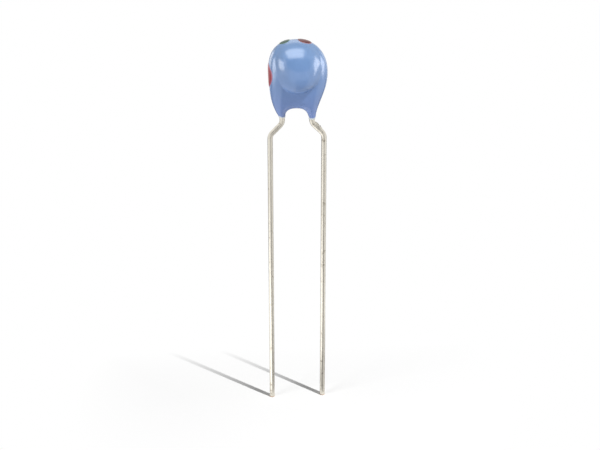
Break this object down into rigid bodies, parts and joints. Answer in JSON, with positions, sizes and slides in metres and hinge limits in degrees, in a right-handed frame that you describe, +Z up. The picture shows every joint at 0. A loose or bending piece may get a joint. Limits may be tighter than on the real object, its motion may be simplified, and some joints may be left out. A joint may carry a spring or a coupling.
{
  "type": "radial inductor",
  "caption": "Drop-shaped, epoxy-dipped radial inductor with colour-code dots and kinked wire leads for a 5 mm pitch.",
  "frame": {"origin": "midpoint between the two leads on the seating plane, which is the level where the kinks end and the leads run straight down", "axes": "+Z up, out of the board along the leads towards the dome; +X from the left lead to the right lead; -Y is the front, the round face of the drum with the red dot to its left"},
  "size_m": [0.0055, 0.0046, 0.0364],
  "materials": {
    "epoxy_coating": "glossy dipped epoxy",
    "tinned_wire": "tinned, satin",
    "ferrite": "matt, ground",
    "enamelled_copper": "clear enamel over copper",
    "solder": "bright solder",
    "adhesive": "cured resin",
    "green_paint": "glossy dot of paint",
    "brown_paint": "glossy dot of paint",
    "red_paint": "glossy dot of paint"
  },
  "bodies": {
    "root": {"coating": "epoxy_coating", "drum_core": "ferrite", "winding": "enamelled_copper", "lead_left": "tinned_wire", "lead_right": "tinned_wire", "solder_left": "solder", "solder_right": "solder", "adhesive_left": "adhesive", "adhesive_right": "adhesive", "dot_green": "green_paint", "dot_brown": "brown_paint", "dot_red": "red_paint"}
  },
  "joints": []
}
